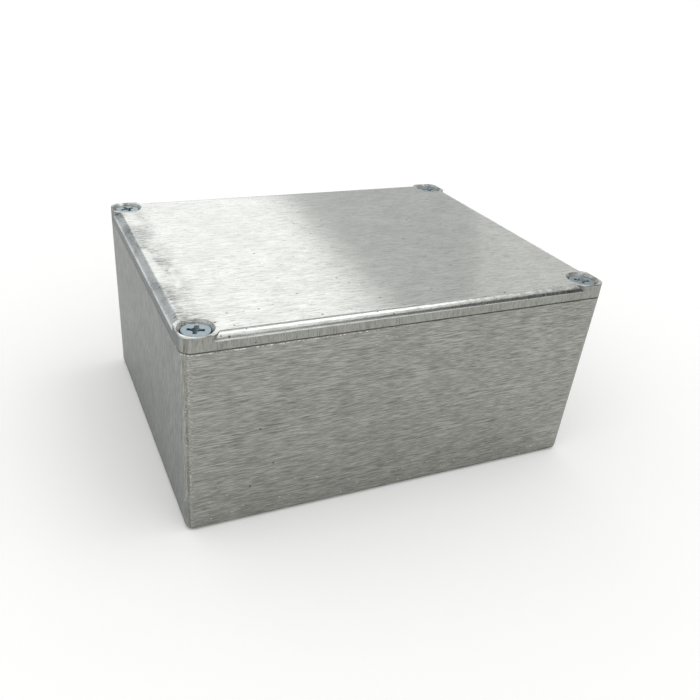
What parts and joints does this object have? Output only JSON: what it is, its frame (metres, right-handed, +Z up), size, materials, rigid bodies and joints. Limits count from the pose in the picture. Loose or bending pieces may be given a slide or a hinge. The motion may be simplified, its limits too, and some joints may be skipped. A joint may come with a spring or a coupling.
{
  "type": "die-cast aluminium box",
  "caption": "Hollow rectangular die-cast aluminium box with a screwed-down lid, countersunk cross-recess screws in corner pads, drafted walls and a linished finish.",
  "frame": {"origin": "centre of the base, on the surface that the box stands on", "axes": "+X along the length, +Y along the width, away from the viewer, +Z up through the lid"},
  "size_m": [0.12, 0.094, 0.057],
  "materials": {
    "cast_aluminium": "die-cast and linished, bare",
    "zinc_plated_steel": "bright zinc plated"
  },
  "bodies": {
    "root": {"box_body": "cast_aluminium", "lid": "cast_aluminium", "screw_front_left": "zinc_plated_steel", "screw_front_right": "zinc_plated_steel", "screw_back_left": "zinc_plated_steel", "screw_back_right": "zinc_plated_steel"}
  },
  "joints": []
}
